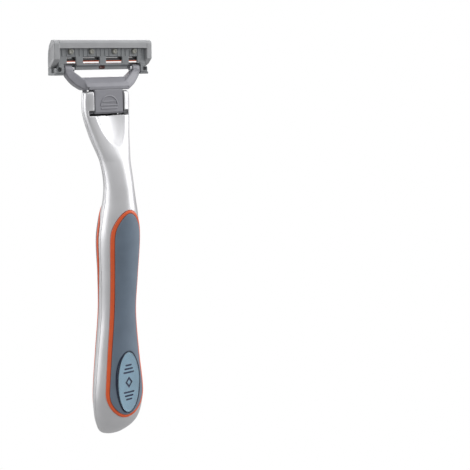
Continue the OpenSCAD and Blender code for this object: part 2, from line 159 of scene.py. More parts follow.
SILVER = Finish("silver_shell", (0.62, 0.62, 0.635), 0.40, 0.72, Coat_Weight=0.2, Coat_Roughness=0.15)
SILVER.mottle(9, 0.035).uneven(6, 0.035).grain(0.10, 0.0016).grain(2.2, 0.004)
GRIP = Finish("soft_grip", (0.138, 0.182, 0.238), 0.56, Specular_IOR_Level=0.45, Sheen_Weight=0.12)
GRIP.mottle(5, 0.06).uneven(3, 0.05).grain(0.14, 0.012, 2.0).grain(1.6, 0.010)
TRIM = Finish("orange_trim", (0.74, 0.105, 0.022), 0.36, Coat_Weight=0.15, Coat_Roughness=0.25)
TRIM.mottle(3, 0.06).uneven(2, 0.05).grain(0.12, 0.002)
SEAT = Finish("badge_dark", (0.018, 0.026, 0.055), 0.34)
SEAT.mottle(2, 0.15).uneven(1.5, 0.05).grain(0.10, 0.002)
PRINT = Finish("badge_print", (0.58, 0.76, 0.88), 0.38, 0.25)
PRINT.mottle((6, 6, 9), 0.10).uneven(2, 0.05).grain((0.9, 0.9, 0.06), 0.001)
INK = Finish("badge_ink", (0.020, 0.035, 0.120), 0.45)
INK.mottle(1.0, 0.15).uneven(1.0, 0.05).grain(0.08, 0.001)
CLEAR = Finish("badge_clear", (0.88, 0.95, 0.99), 0.04, Transmission_Weight=1.0, IOR=1.45)
CLEAR.grain(3.0, 0.002)
# Near-black dock: a black plastic part, and also painted shade where its ears fill the prong notches and
# its floor shows under the tab's lip
BLACK_AND_SHADE = Finish("black_plastic", (0.005, 0.005, 0.006), 0.5, Specular_IOR_Level=0.25)
BLACK_AND_SHADE.mottle(2, 0.2).uneven(1.5, 0.05).grain(0.12, 0.004)
YOKE = Finish("yoke_plastic", (0.245, 0.245, 0.270), 0.38, 0.10)
YOKE.mottle(3.5, 0.05).uneven(2.5, 0.05).grain(0.14, 0.006, 2.0).grain(1.4, 0.006)
FRAME = Finish("frame_plastic", (0.205, 0.215, 0.225), 0.40)
FRAME.mottle(2.5, 0.07).uneven(1.8, 0.05).grain(0.13, 0.006, 2.0).grain(1.2, 0.005)
CAP = Finish("cap_plastic", (0.325, 0.33, 0.34), 0.34)
CAP.mottle(4, 0.05).uneven(2.5, 0.05).grain(0.14, 0.004, 2.0).grain(1.8, 0.006)
PLATE = Finish("plate_plastic", (0.44, 0.50, 0.53), 0.42)
PLATE.mottle(2.5, 0.06).uneven(1.5, 0.05).grain(0.12, 0.006, 2.0)
GUARD = Finish("orange_guard", (0.70, 0.135, 0.045), 0.55, Specular_IOR_Level=0.4)
GUARD.mottle(1.5, 0.08).uneven(1.0, 0.05).grain(0.08, 0.008, 2.0)
STRIP = Finish("orange_strip", (0.62, 0.135, 0.048), 0.50, Subsurface_Weight=0.15)
STRIP.shader.inputs["Subsurface Radius"].default_value = (0.001, 0.0004, 0.0002)
STRIP.mottle(1.2, 0.12, 5.0).uneven(0.8, 0.08).grain(0.22, 0.020, 3.0)
STEEL = Finish("blade_steel", (0.78, 0.79, 0.80), 0.20, 1.0)
STEEL.mottle((3.0, 0.05, 0.05), 0.04).uneven((4.0, 0.04, 0.04), 0.06).grain((5.0, 0.012, 0.012), 0.0012)
WIRE = Finish("spring_steel", (0.62, 0.63, 0.65), 0.24, 1.0)
WIRE.mottle(0.3, 0.06).uneven(0.3, 0.06).grain(0.05, 0.001)
# painted shade: the blade supports are near-black steel so the rows between the blades look shaded
PRESSED_SHADE = Finish("support_steel_painted_shade", (0.10, 0.10, 0.105), 0.45, 0.8)
PRESSED_SHADE.mottle((2.0, 0.1, 0.1), 0.06).uneven((2.0, 0.1, 0.1), 0.06).grain((3.0, 0.03, 0.03), 0.0015)
# painted shade: the spacers are near-black so the gaps between the blades read as shade
SPACER_SHADE = Finish("spacer_plastic", (0.03, 0.03, 0.032), 0.42)
SPACER_SHADE.mottle(1.5, 0.07).uneven(1.0, 0.05).grain(0.12, 0.005, 2.0)
STAKE = Finish("stake_plastic", (0.24, 0.24, 0.215), 0.32)
STAKE.mottle(0.6, 0.08).uneven(0.5, 0.05).grain(0.10, 0.003)
GATE = Finish("gate_plastic", (0.065, 0.011, 0.006), 0.34)
GATE.mottle(0.8, 0.15).uneven(0.5, 0.05).grain(0.08, 0.004)
WEIGHT = Finish("weight_metal", (0.36, 0.365, 0.37), 0.42, 1.0)
WEIGHT.mottle(4, 0.12).uneven(2, 0.08).grain(0.4, 0.02, 4.0)

# ------------------------------------------------------------------ fields
# A field gives each point its signed distance from a surface, in mm,
# negative inside. Fields are joined and cut with rounded edges, and the last
# number of joined, common, cut, block and rod is the radius of those edges.


def joined(a, b, r=0.0):
    """Union, with a fillet of radius r where the two meet."""
    if not r:
        return np.minimum(a, b)
    return np.maximum(np.minimum(a, b), r) - np.hypot(np.maximum(r - a, 0), np.maximum(r - b, 0))


def common(a, b, r=0.0):
    """Intersection, with its edges rounded to radius r."""
    if not r:
        return np.maximum(a, b)
    return np.minimum(np.maximum(a, b), -r) + np.hypot(np.maximum(a + r, 0), np.maximum(b + r, 0))


def cut(a, b, r=0.0):
    """a without b, with the edges rounded to radius r."""
    return common(a, -b, r)


def block(x, y, z, xs, ys, zs, r=0.0):
    """Box between two values on each axis, with edges of radius r."""
    out, deep = 0.0, -np.inf
    for p, (low, high) in ((x, xs), (y, ys), (z, zs)):
        q = np.abs(p - (low + high) / 2) - ((high - low) / 2 - r)
        out = out + np.maximum(q, 0) ** 2
        deep = np.maximum(deep, q)
    return np.sqrt(out) + np.minimum(deep, 0) - r


def rod(u, v, w, radius, ends, r=0.0):
    """Cylinder along w, centred on u = v = 0."""
    return common(np.hypot(u, v) - radius, np.abs(w - sum(ends) / 2) - (ends[1] - ends[0]) / 2, r)


def ellipsoid(x, y, z, radii):
    a = np.sqrt((x / radii[0]) ** 2 + (y / radii[1]) ** 2 + (z / radii[2]) ** 2)
    b = np.sqrt((x / radii[0] ** 2) ** 2 + (y / radii[1] ** 2) ** 2 + (z / radii[2] ** 2) ** 2)
    return a * (a - 1) / np.maximum(b, 1e-6)


def turned(y, z, centre, degrees):
    """y and z in axes turned about X by degrees at centre."""
    c, s = math.cos(math.radians(degrees)), math.sin(math.radians(degrees))
    y, z = y - centre[0], z - centre[1]
    return c * y + s * z, -s * y + c * z


def filleted(points, r, steps=4):
    """Outline with its corners rounded to radius r, or less on short sides."""
    points = [Vector(p) for p in points]
    out = []
    for k, p in enumerate(points):
        back, on = points[k - 1] - p, points[(k + 1) % len(points)] - p
        half = back.angle(on) / 2
        reach = min(r / math.tan(half), 0.45 * back.length, 0.45 * on.length)
        a, b = p + back.normalized() * reach, p + on.normalized() * reach
        for i in range(steps + 1):
            t = i / steps
            out.append(a * (1 - t) ** 2 + p * 2 * t * (1 - t) + b * t * t)
    return np.array([tuple(q) for q in out])


def outline(u, v, points):
    """Signed distance from a closed outline in the plane of u and v."""
    best = np.full(np.shape(u), 1e9)
    inside = np.zeros(np.shape(u), bool)
    for (ax, ay), (bx, by) in zip(points, np.roll(points, -1, axis=0)):
        ex, ey = bx - ax, by - ay
        wx, wy = u - ax, v - ay
        t = np.clip((wx * ex + wy * ey) / max(ex * ex + ey * ey, 1e-12), 0, 1)
        best = np.minimum(best, (wx - t * ex) ** 2 + (wy - t * ey) ** 2)
        if ey:
            inside ^= ((ay > v) != (by > v)) & (wx < wy * ex / ey)
    return np.where(inside, -1, 1) * np.sqrt(best)


def bar(x, y, z, points, half, r=0.1, corner=0.15):
    """Profile in Y and Z with rounded corners, run along X to both sides."""
    return common(outline(y, z, filleted(points, corner)), np.abs(x) - half, r)


# ------------------------------------------------------------------ meshing


def sampled(field, axes, cell):
    """Values of a field on a grid. Blocks clear of the surface are skipped."""
    step = 8
    shape = [len(a) for a in axes]
    starts = [np.arange(0, n, step) for n in shape]
    middle = [a[np.minimum(s + step // 2, len(a) - 1)] for a, s in zip(axes, starts)]
    centres = [m.ravel() for m in np.meshgrid(*middle, indexing="ij")]
    coarse = field(*centres).reshape([len(s) for s in starts])
    values = np.repeat(np.repeat(np.repeat(np.sign(coarse), step, 0), step, 1), step, 2)
    values = values[: shape[0], : shape[1], : shape[2]].astype(np.float64) * 10
    near = np.argwhere(np.abs(coarse) < 0.9 * step * np.linalg.norm(cell) + 0.5)
    local = np.stack(np.meshgrid(*[np.arange(step)] * 3, indexing="ij"), -1).reshape(-1, 3)
    for some in np.array_split(near, max(1, len(near) // 2000)):
        at = (some[:, None] * step + local).reshape(-1, 3)
        at = at[(at < shape).all(1)]
        values[tuple(at.T)] = field(*[a[i] for a, i in zip(axes, at.T)])
    return values


def slope(field, points, h):
    """Gradient of a field, by central differences of step h."""
    out = np.empty_like(points)
    for k in range(3):
        step = np.zeros(3)
        step[k] = h
        out[:, k] = (field(*(points + step).T) - field(*(points - step).T)) / (2 * h)
    return out


def surface(field, low, high, cell):
    """Points, normals and quads of the surface where a field is 0."""
    cell = np.array(cell if isinstance(cell, tuple) else (cell,) * 3, float)
    low = np.array(low, float) - 1.5 * cell
    count = np.ceil((np.array(high) - low) / cell).astype(int) + 3
    values = sampled(field, [low[k] + cell[k] * np.arange(count[k]) for k in range(3)], cell)
    inside = values < 0
    corners = [
        inside[i : count[0] - 1 + i, j : count[1] - 1 + j, k : count[2] - 1 + k]
        for i in (0, 1) for j in (0, 1) for k in (0, 1)
    ]
    mixed = np.logical_or.reduce(corners) & ~np.logical_and.reduce(corners)
    index = np.full(mixed.shape, -1)
    index[mixed] = np.arange(mixed.sum())
    cells = np.argwhere(mixed)
    total, hits = np.zeros((len(cells), 3)), np.zeros(len(cells))
    quads = []
    for k in range(3):
        u, v = (k + 1) % 3, (k + 2) % 3
        along = np.eye(3, dtype=int)[k]
        eu, ev = np.eye(3, dtype=int)[u], np.eye(3, dtype=int)[v]
        for a in (0, 1):
            for b in (0, 1):
                offset = a * eu + b * ev
                start = values[tuple((cells + offset).T)]
                end = values[tuple((cells + offset + along).T)]
                cross = (start < 0) != (end < 0)
                t = np.where(cross, start / np.where(cross, start - end, 1), 0)
                total += cross[:, None] * (offset + t[:, None] * along)
                hits += cross
        pick = [slice(1, n - 1) for n in count]
        ahead = list(pick)
        pick[k], ahead[k] = slice(0, count[k] - 1), slice(1, count[k])
        here, there = inside[tuple(pick)], inside[tuple(ahead)]
        edge = np.argwhere(here != there) + eu + ev
        out = here[here != there]
        ring = [index[tuple((edge - o).T)] for o in (eu + ev, ev, 0 * eu, eu)]
        ring = np.stack(ring, 1)
        quads.append(np.where(out[:, None], ring, ring[:, ::-1]))
    points = low + (cells + total / hits[:, None]) * cell
    h = 0.2 * cell.min()
    for _ in range(3):
        grad = slope(field, points, h)
        size = np.maximum((grad ** 2).sum(1), 0.05)
        move = -(field(*points.T) / size)[:, None] * grad
        points = points + np.clip(move, -0.6 * cell, 0.6 * cell)
    grad = slope(field, points, h)
    normals = grad / np.maximum(np.linalg.norm(grad, axis=1), 1e-9)[:, None]
    return points, normals, np.concatenate(quads)


def placed(name, mesh, body, finish, nodes=(), slot=None):
    piece = bpy.data.objects.new(name, mesh)
    bpy.context.scene.collection.objects.link(piece)
    mesh.materials.append(finish.mat)
    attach(piece, body)
    if nodes:
        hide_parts(*nodes)
    slot or finish.name
    return piece


def solid(name, body, finish, field, low, high, cell, nodes=(), slot=None):
    """A piece whose surface is where the field is 0."""
    points, normals, quads = surface(field, low, high, cell)
    mesh = bpy.data.meshes.new(name)
    mesh.vertices.add(len(points))
    mesh.vertices.foreach_set("co", (points * MM).ravel())
    mesh.loops.add(quads.size)
    mesh.loops.foreach_set("vertex_index", quads.ravel())
    mesh.polygons.add(len(quads))
    mesh.polygons.foreach_set("loop_start", np.arange(0, quads.size, 4))
    mesh.polygons.foreach_set("use_smooth", np.ones(len(quads), bool))
    mesh.update(calc_edges=True)
    mesh.validate()
    if len(mesh.vertices) == len(normals):
        mesh.normals_split_custom_set_from_vertices(normals)
    return placed(name, mesh, body, finish, nodes, slot)


# ------------------------------------------------------------------ handle

BUTT_Z = node_box("handle_back_shell")[0][2]
FORK_TOP = node_box("handle_back_shell")[1][2]
WALL = 2.2
CAVITY = (-86.0, 8.0)       # heights between which the shells are hollow
GRIP_DEPTH = 1.0            # of the pocket for a grip and its ring
GRIP_PROUD = 0.35
RING_PROUD = 0.25
RING_W = {-1: 1.05, 1: 0.55}    # of the trim rings, behind and in front
RING_SHARE = 0.825          # of the handle's half width
FRONT_FLARE = 0.18          # how much wider the front ring gets towards its top
FLARE_Z = (-50.0, -22.0)    # heights between which it does
SEAM = 0.03                 # half the gap between two neighbouring pieces
BACK_RING = (-81.2, -6.5)   # heights of the trim rings' ends
FRONT_RING = (-85.5, -3.4)
RING_ENDS = (10.0, 9.0)     # lengths of the rings' round ends

# Height, centre towards the blades, half width and half depth of the handle
FORM = np.array([
    (BUTT_Z, 8.2, 0.9, 0.7), (-88.6, 7.3, 4.5, 3.1), (-85, 4.9, 7.5, 5.2), (-80.5, 3.7, 9.0, 6.5),
    (-73, 3.0, 9.6, 7.1), (-58, 3.1, 7.95, 6.8), (-43, 2.7, 6.5, 6.5), (-30, 1.75, 6.8, 6.8),
    (-17, 1.15, 7.3, 7.5), (-9, 0.4, 6.6, 6.8), (-3, 0.0, 5.65, 5.7), (3, 0.4, 5.2, 5.2),
    (10, 2.2, 5.6, 4.8), (18, 5.3, 7.3, 4.0), (26, 7.2, 8.9, 2.85), (FORK_TOP - 1, 7.2, 8.9, 2.6),
    (FORK_TOP, 7.2, 8.2, 2.0),
])


def smooth_table():
    """The form at close heights, on a smooth curve through its rows."""
    rows = np.vstack([2 * FORM[0] - FORM[1], FORM, 2 * FORM[-1] - FORM[-2]])
    out = []
    for p0, p1, p2, p3 in zip(rows, rows[1:], rows[2:], rows[3:]):
        rise = p2[0] - p1[0]
        m1 = (p2 - p0) * rise / (p2[0] - p0[0])
        m2 = (p3 - p1) * rise / (p3[0] - p1[0])
        for t in np.linspace(0, 1, max(int(rise / 0.1), 8), endpoint=False):
            row = ((2 * t**3 - 3 * t**2 + 1) * p1 + (t**3 - 2 * t**2 + t) * m1
                   + (3 * t**2 - 2 * t**3) * p2 + (t**3 - t**2) * m2)
            out.append((p1[0] + t * rise, *row[1:]))
    out.append(tuple(FORM[-1]))
    return np.array(out)


TABLE = smooth_table()
TABLE_SLOPE = np.gradient(TABLE[:, 1:], TABLE[:, 0], axis=0)


def form_at(z):
    """Centre, half width and half depth at height z, and their slopes."""
    values = [np.interp(z, TABLE[:, 0], TABLE[:, k]) for k in (1, 2, 3)]
    slopes = [np.interp(z, TABLE[:, 0], TABLE_SLOPE[:, k]) for k in (0, 1, 2)]
    return values, slopes


def handle_skin(x, y, z):
    """Distance from the handle's outer form, and X carried out to that form."""
    (mid, a, b), (mid_s, a_s, b_s) = form_at(z)
    n = 2 + 2 * np.clip((z - 10) / 16, 0, 1)
    u, v = np.abs(x) / a, np.abs(y - mid) / b
    g = np.maximum((u**n + v**n) ** (1 / n), 1e-3)
    gu, gv = (u / g) ** (n - 1), (v / g) ** (n - 1)
    gz = -gu * u * a_s / a - gv * v * b_s / b - gv * np.sign(y - mid) * mid_s / b
    return (g - 1) / np.sqrt((gu / a) ** 2 + (gv / b) ** 2 + gz**2), x / g


def ring_distance(ends, flare):
    """Field in X and Z of a trim ring's outline, from a fine table."""
    low, high = ends
    z = low + (high - low) * (1 - np.cos(np.linspace(0, math.pi, 61))) / 2
    below, above = (low + RING_ENDS[0] - z) / RING_ENDS[0], (z - high + RING_ENDS[1]) / RING_ENDS[1]
    d = np.maximum(np.maximum(below, above), 0)
    t = np.clip((z - FLARE_Z[0]) / (FLARE_Z[1] - FLARE_Z[0]), 0, 1)
    share = RING_SHARE * (1 + flare * t * t * (3 - 2 * t))
    half = share * form_at(z)[0][1] * np.sqrt(np.maximum(1 - d * d, 0))
    points = np.vstack([np.stack([half, z], 1), np.stack([-half, z], 1)[-2:0:-1]])
    xs, zs = np.arange(0, 12, 0.1), np.arange(low - 4, high + 4, 0.1)
    table = outline(*np.meshgrid(xs, zs, indexing="ij"), points)

    def field(x, z):
        i = np.clip(np.abs(x) / 0.1, 0, len(xs) - 1.001)
        j = np.clip((z - zs[0]) / 0.1, 0, len(zs) - 1.001)
        i0, j0 = i.astype(int), j.astype(int)
        fi, fj = i - i0, j - j0
        return ((1 - fi) * (1 - fj) * table[i0, j0] + fi * (1 - fj) * table[i0 + 1, j0]
                + (1 - fi) * fj * table[i0, j0 + 1] + fi * fj * table[i0 + 1, j0 + 1])

    return field


RINGS = {-1: ring_distance(BACK_RING, 0.0), 1: ring_distance(FRONT_RING, FRONT_FLARE)}

BADGE_Z = -68.0
BADGE_HALF = (4.55, 10.9)    # half width and half length of the badge
BADGE_RIM = 0.4


def badge_ellipse(x, z, grow):
    """Distance from the badge's outline, made wider by grow."""
    a, b = BADGE_HALF[0] + grow, BADGE_HALF[1] + grow
    g = np.maximum(np.hypot(x / a, (z - BADGE_Z) / b), 1e-3)
    return (g - 1) * g / np.maximum(np.hypot(x / a**2, (z - BADGE_Z) / b**2), 1e-3)


FORK_FLOOR = 25.2
GAP_HALF = 6.1


def fork_cuts(x, y, z):
    """All that is taken out of the handle's head to make the fork."""
    ax = np.abs(x)
    out = block(x, y, z, (-GAP_HALF, GAP_HALF), (0, 14), (FORK_FLOOR, 40), 0.15)
    out = joined(out, block(ax, y, z, (5.95, 7.75), (6.2, 8.5), (FORK_FLOOR - 0.1, 40), 0.1))
    out = joined(out, block(ax, y, z, (5.75, 7.95), (8.35, 13), (27.6, 40), 0.15))
    out = joined(out, block(ax, y, z, (6.05, 8.05), (2, 7), (FORK_FLOOR, 26.9), 0.25))
    out = joined(out, block(x, y, z, (-5.93, 5.93), (5.87, 9.23), (21.35, FORK_FLOOR + 0.2)))
    out = joined(out, block(x, y, z, (-7.83, 7.83), (6.27, 8.53), (24.25, FORK_FLOOR + 0.01)))
    v, w = turned(y, z, (2.86, 26.07), -22.5)
    return joined(out, common(ellipsoid(x, v, w, (7.0, 3.0, 12.7)), z - FORK_FLOOR - 0.3), 0.1)


def shell_field(side):
    def field(x, y, z):
        form, x_out = handle_skin(x, y, z)
        mid = form_at(z)[0][0]
        outer = common(common(form, BUTT_Z - z, 0.5), z - FORK_TOP, 0.45)
        hollow = common(form + WALL, np.abs(z - sum(CAVITY) / 2) - (CAVITY[1] - CAVITY[0]) / 2, 0.3)
        out = cut(outer, hollow, 0.2)
        pocket = common(RINGS[side](x_out, z) - SEAM, -(form + GRIP_DEPTH + SEAM))
        pocket = common(pocket, side * (mid - y) + 0.5)
        out = cut(out, pocket, 0.14)
        out = cut(out, fork_cuts(x, y, z), 0.3)
        if side < 0:
            out = cut(out, common(badge_ellipse(x, z, BADGE_RIM + SEAM), y + 2.57), 0.05)
        return common(out, side * (mid - y) + SEAM, 0.12)

    return field


SHELL_CELL = (0.26, 0.26, 0.3)
for side, name in ((-1, "handle_back_shell"), (1, "handle_front_shell")):
    low, high = node_box(name)
    solid("shell_back" if side < 0 else "shell_front", "handle", SILVER, shell_field(side), low, high,
          SHELL_CELL, (name,))


def grip_field(side):
    def field(x, y, z):
        form, x_out = handle_skin(x, y, z)
        mid = form_at(z)[0][0]
        out = common(RINGS[side](x_out, z) + RING_W[side] + SEAM, form - GRIP_PROUD, 0.32)
        out = common(out, -(form + GRIP_DEPTH), 0.1)
        if side < 0:
            out = cut(out, badge_ellipse(x, z, BADGE_RIM + SEAM), 0.2)
        return common(out, side * (mid - y) + 1.0)

    return field


def ring_field(side):
    def field(x, y, z):
        form, x_out = handle_skin(x, y, z)
        mid = form_at(z)[0][0]
        edge = RINGS[side](x_out, z)
        out = common(common(edge + SEAM, -(edge + RING_W[side] - SEAM), 0.15), form - RING_PROUD, 0.2)
        out = common(out, -(form + GRIP_DEPTH), 0.1)
        return common(out, side * (mid - y) + 1.0)

    return field


for side, word in ((-1, "back"), (1, "front")):
    low, high = node_box(f"{word}_grip")
    solid(f"grip_{word}", "handle", GRIP, grip_field(side), low, high, (0.24, 0.24, 0.3), (f"{word}_grip",))
    low, high = node_box(f"{word}_trim_ring")
    solid(f"trim_{word}", "handle", TRIM, ring_field(side), low, high, (0.16, 0.16, 0.2),
          (f"{word}_trim_ring",))

# The badge: a dark cup, a pale plate, printed marks and a clear dome
SEAT_Y, PLATE_Y, DOME_Y = (-3.9, -2.6), (-3.69, -3.41), (-4.62, -3.73)


def layer(p, ends):
    """Distance from the slab between two values of p."""
    return np.abs(p - sum(ends) / 2) - (ends[1] - ends[0]) / 2


def seat_field(x, y, z):
    out = common(badge_ellipse(x, z, BADGE_RIM), layer(y, SEAT_Y), 0.12)
    return cut(out, common(badge_ellipse(x, z, 0.02), y + 3.4), 0.06)


def plate_field(x, y, z):
    return common(badge_ellipse(x, z, -0.01), layer(y, PLATE_Y), 0.06)


def dome_field(x, y, z):
    crown = ellipsoid(x, y + 3.1, z - BADGE_Z, (BADGE_HALF[0] + 1.6, 1.5, BADGE_HALF[1] + 3.2))
    return common(common(badge_ellipse(x, z, -0.02), crown, 0.25), y - DOME_Y[1], 0.04)


def marks_field(x, y, z):
    """A lozenge between two pairs of bars: a plain motif."""
    v = np.abs(z - BADGE_Z)
    out = (np.abs(x) / 1.5 + v / 2.1 - 1) * 1.22
    out = np.maximum(out, -(np.abs(x) / 0.75 + v / 1.05 - 1) * 0.61)
    for centre, half in ((3.6, 1.9), (4.9, 1.45), (6.2, 1.0)):
        out = np.minimum(out, np.hypot(np.maximum(np.abs(x) - half, 0), v - centre) - 0.32)
    return common(out, np.abs(y + 3.70) - 0.025, 0.015)


low, high = node_box("badge_seat")
solid("badge_cup", "handle", SEAT, seat_field, low, high, 0.14, ("badge_seat",))
low, high = node_box("badge_plate")
solid("badge_face", "handle", PRINT, plate_field, low, high, (0.14, 0.07, 0.14), ("badge_plate",))
solid("badge_marks", "handle", INK, marks_field, (-2.4, -3.73, BADGE_Z - 7), (2.4, -3.66, BADGE_Z + 7),
      (0.07, 0.02, 0.07), slot="badge_print")
low, high = node_box("badge_dome")
solid("badge_lens", "handle", CLEAR, dome_field, low, high, (0.14, 0.1, 0.14), ("badge_dome",))


def dock_field(x, y, z):
    out = block(x, y, z, (-5.88, 5.88), (5.92, 9.18), (21.42, FORK_FLOOR - 0.1), 0.2)
    # these ears fill the prong notches, where their near-black colour is painted shade
    out = joined(out, block(x, y, z, (-7.75, 7.75), (6.32, 8.48), (24.32, FORK_FLOOR - 0.1), 0.2), 0.1)
    out = joined(out, block(x, y, z, (-5.6, 5.6), (8.3, 9.2), (FORK_FLOOR - 0.6, 36.9), 0.25), 0.2)
    # shallow ribs up the tongue
    for rib in (2.0, 4.0):
        out = cut(out, block(np.abs(x), y, z, (rib - 0.18, rib + 0.18), (9.08, 10), (27, 36.3), 0.05), 0.05)
    return out


low, high = node_box("dock_block")
solid("dock", "handle", BLACK_AND_SHADE, dock_field, low, high, 0.14, ("dock_block",), "black_plastic")

# ------------------------------------------------------------------ yoke

PIVOT = (9.2, 41.0)         # Y and Z of the axis on which the head rocks
HINGE = (5.55, 33.75)       # Y and Z of the release tab's living hinge
TIP_X = (12.3, 15.2)        # inner and outer face of the yoke's tips
YOKE_Z = 33.95              # underside of the yoke
# Stations of the bowed arm: X, Z, half its width, how far it reaches back
ARM = ((8.6, YOKE_Z + 1.6, 1.6, 5.8), (10.9, 37.1, 1.75, 6.7), (13.1, 39.1, 1.6, 7.6),
       (sum(TIP_X) / 2, 40.15, (TIP_X[1] - TIP_X[0]) / 2, 7.9))
ARM_FRONT = 10.3


def smooth_path(rows, steps):
    """Close points on a smooth curve through some rows."""
    rows = np.array(rows)
    rows = np.vstack([2 * rows[0] - rows[1], rows, 2 * rows[-1] - rows[-2]])
    out = [0.5 * (2 * p1 + (p2 - p0) * t + (2 * p0 - 5 * p1 + 4 * p2 - p3) * t**2
                  + (3 * p1 - p0 - 3 * p2 + p3) * t**3)
           for p0, p1, p2, p3 in zip(rows, rows[1:], rows[2:], rows[3:]) for t in np.arange(steps) / steps]
    return out + [rows[-2]]


ARM_PATH = smooth_path(ARM, 5)


def arm_field(x, y, z):
    """Half-width and reach run along the arm's path. It is flat in front."""
    wide, back = 1e9, 0.0
    for (x0, z0, r0, back0), (x1, z1, r1, back1) in zip(ARM_PATH, ARM_PATH[1:]):
        ex, ez = x1 - x0, z1 - z0
        t = np.clip(((x - x0) * ex + (z - z0) * ez) / (ex * ex + ez * ez), 0, 1)
        here = np.hypot(x - x0 - t * ex, z - z0 - t * ez) - (r0 + t * (r1 - r0))
        back = np.where(here < wide, back0 + t * (back1 - back0), back)
        wide = np.minimum(wide, here)
    return common(wide, np.maximum(y - ARM_FRONT, back - y), 0.5)


def yoke_field(x, y, z):
    ax = np.abs(x)
    body = bar(x, y, z, [(4.95, YOKE_Z), (4.95, 35.2), (5.6, 36.3), (7.9, 38.2), (ARM_FRONT, 38.2),
                         (ARM_FRONT, YOKE_Z)], 8.8, 0.35, 0.45)
    # shallow notches at the lower corners of the back
    body = cut(body, block(ax, y, z, (7.9, 9.5), (4, 5.35), (33, 35.0), 0.1), 0.12)
    arm = joined(arm_field(ax, y, z), block(ax, y, z, TIP_X, (7.9, 10.5), (39.6, PIVOT[1]), 0.3), 0.15)
    arm = joined(arm, rod(y - PIVOT[0], z - PIVOT[1], ax, 1.3, TIP_X, 0.25), 0.15)
    arm = cut(arm, rod(y - PIVOT[0], z - PIVOT[1], ax, 1.1, (10.1, 12.3)), 0.08)
    out = joined(body, arm, 0.35)
    out = joined(out, rod(y - PIVOT[0], z - PIVOT[1], ax, 0.7, (11.4, 16.3), 0.12), 0.06)
    out = joined(out, block(ax, y, z, (6.0, 7.7), (8.65, 9.95), (28, 34.6), 0.25), 0.15)
    out = cut(out, block(x, y, z, (-8, 8), (8, 9.5), (33, 37.4), 0.15), 0.12)
    out = cut(out, block(x, y, z, (-8, 8), (9, 12), (35.2, 37.4), 0.3), 0.15)
    return cut(out, rod(y - HINGE[0], z - HINGE[1], x, 0.66, (-5.9, 5.9)), 0.05)


low, high = node_box("yoke")
solid("yoke_body", "yoke", YOKE, yoke_field, low, high, 0.15, ("yoke",), "yoke_plastic")

MOON = 28.5                 # height of the thumb mark's flat edge


def tab_field(x, y, z):
    out = block(x, y, z, (-5.7, 5.7), (4.95, 6.1), (26.2, HINGE[1]), 0.3)
    out = joined(out, rod(y - HINGE[0], z - HINGE[1], x, 0.6, (-5.7, 5.7), 0.15), 0.1)
    out = joined(out, block(x, y, z, (-5.7, 5.7), (5.5, 7.0), (25.8, 26.5), 0.25), 0.3)
    # wavy lip, with straight ends
    wave = 0.18 * np.cos(x * math.pi / 3.65) * (np.abs(x) < 5.5)
    out = joined(out, block(x, y, z + wave, (-7.3, 7.3), (6.4, 7.1), (25.8, 26.5), 0.22), 0.15)
    # raised half moon with bars across it
    rise = (4.72, 5.2)
    radius = np.hypot(x, z - MOON)
    arc = common(common(np.abs(radius - 3.4) - 0.22, MOON - z, 0.08), rise[0] - y, 0.1)
    out = joined(out, common(arc, y - rise[1]), 0.06)
    for half, base in ((3.4, MOON - 1.1), (3.4, MOON), (2.7, MOON + 1.25)):
        out = joined(out, block(x, y, z, (-half, half), rise, (base, base + 0.42), 0.15), 0.06)
    return out


low, high = node_box("release_tab")
solid("tab_panel", "tab", YOKE, tab_field, low, high, (0.12, 0.09, 0.12), ("release_tab",), "yoke_plastic")


def coil(name, centre_x, turns, pitch, radius, wire, finish, nodes=()):
    """Wire wound about the pivot axis, as a closed tube."""
    around, per_turn = 10, 28
    mesh, bm = bpy.data.meshes.new(name), bmesh.new()
    rings = []
    for k in range(per_turn * turns + 1):
        a = 2 * math.pi * k / per_turn
        out = Vector((0, math.cos(a), math.sin(a)))
        middle = Vector((centre_x + pitch * (k / per_turn - turns / 2), *PIVOT)) + out * radius
        rings.append([
            bm.verts.new((middle + wire * (math.cos(b) * out + math.sin(b) * Vector((1, 0, 0)))) * MM)
            for b in (2 * math.pi * j / around for j in range(around))
        ])
    for one, two in zip(rings, rings[1:]):
        for j in range(around):
            on = (j + 1) % around
            bm.faces.new((one[j], one[on], two[on], two[j])).smooth = True
    bm.faces.new(rings[0][::-1])
    bm.faces.new(rings[-1])
    bmesh.ops.recalc_face_normals(bm, faces=bm.faces)
    bm.to_mesh(mesh)
    bm.free()
    return placed(name, mesh, "yoke", finish, nodes, "spring_steel")


SPRING_X = 11.8             # middle of each return spring
coil("spring_right", SPRING_X, 3, 0.25, 0.87, 0.11, WIRE, ("return_springs",))
coil("spring_left", -SPRING_X, 3, 0.25, 0.87, 0.11, WIRE)

# ------------------------------------------------------------------ cartridge

RIB = 0.1                   # height of the ribs on the end posts
HEAD_HALF = node_box("cap_frame")[1][0] - RIB
SHOE_HALF = HEAD_HALF - 0.7
POST_IN = 17.7              # inner face of an end post
POST_TAPER = 0.19           # slope of an end post's side towards the blades
STRIP_HALF = POST_IN - 0.1
STAKES = (4.7, 12.9)        # places of the stake pins on each side
STAKE_Z = 47.25
HEAD_DROP = 0.37            # how far a stake's head sits below its shank
LUG_X = 15.6                # inner face of the lug that carries a pivot pin
FOOT_X = 18.6               # outer face of a foot
HOLE_AT = (17.4, 40.95)     # X and Z of the blind hole behind each foot
CAP_CORNER = (9.1, 50.8)    # Y and Z where the cap starts to slope down
CAP_SLOPE = -43.7           # degrees
HEAD_CELL = (0.16, 0.11, 0.11)


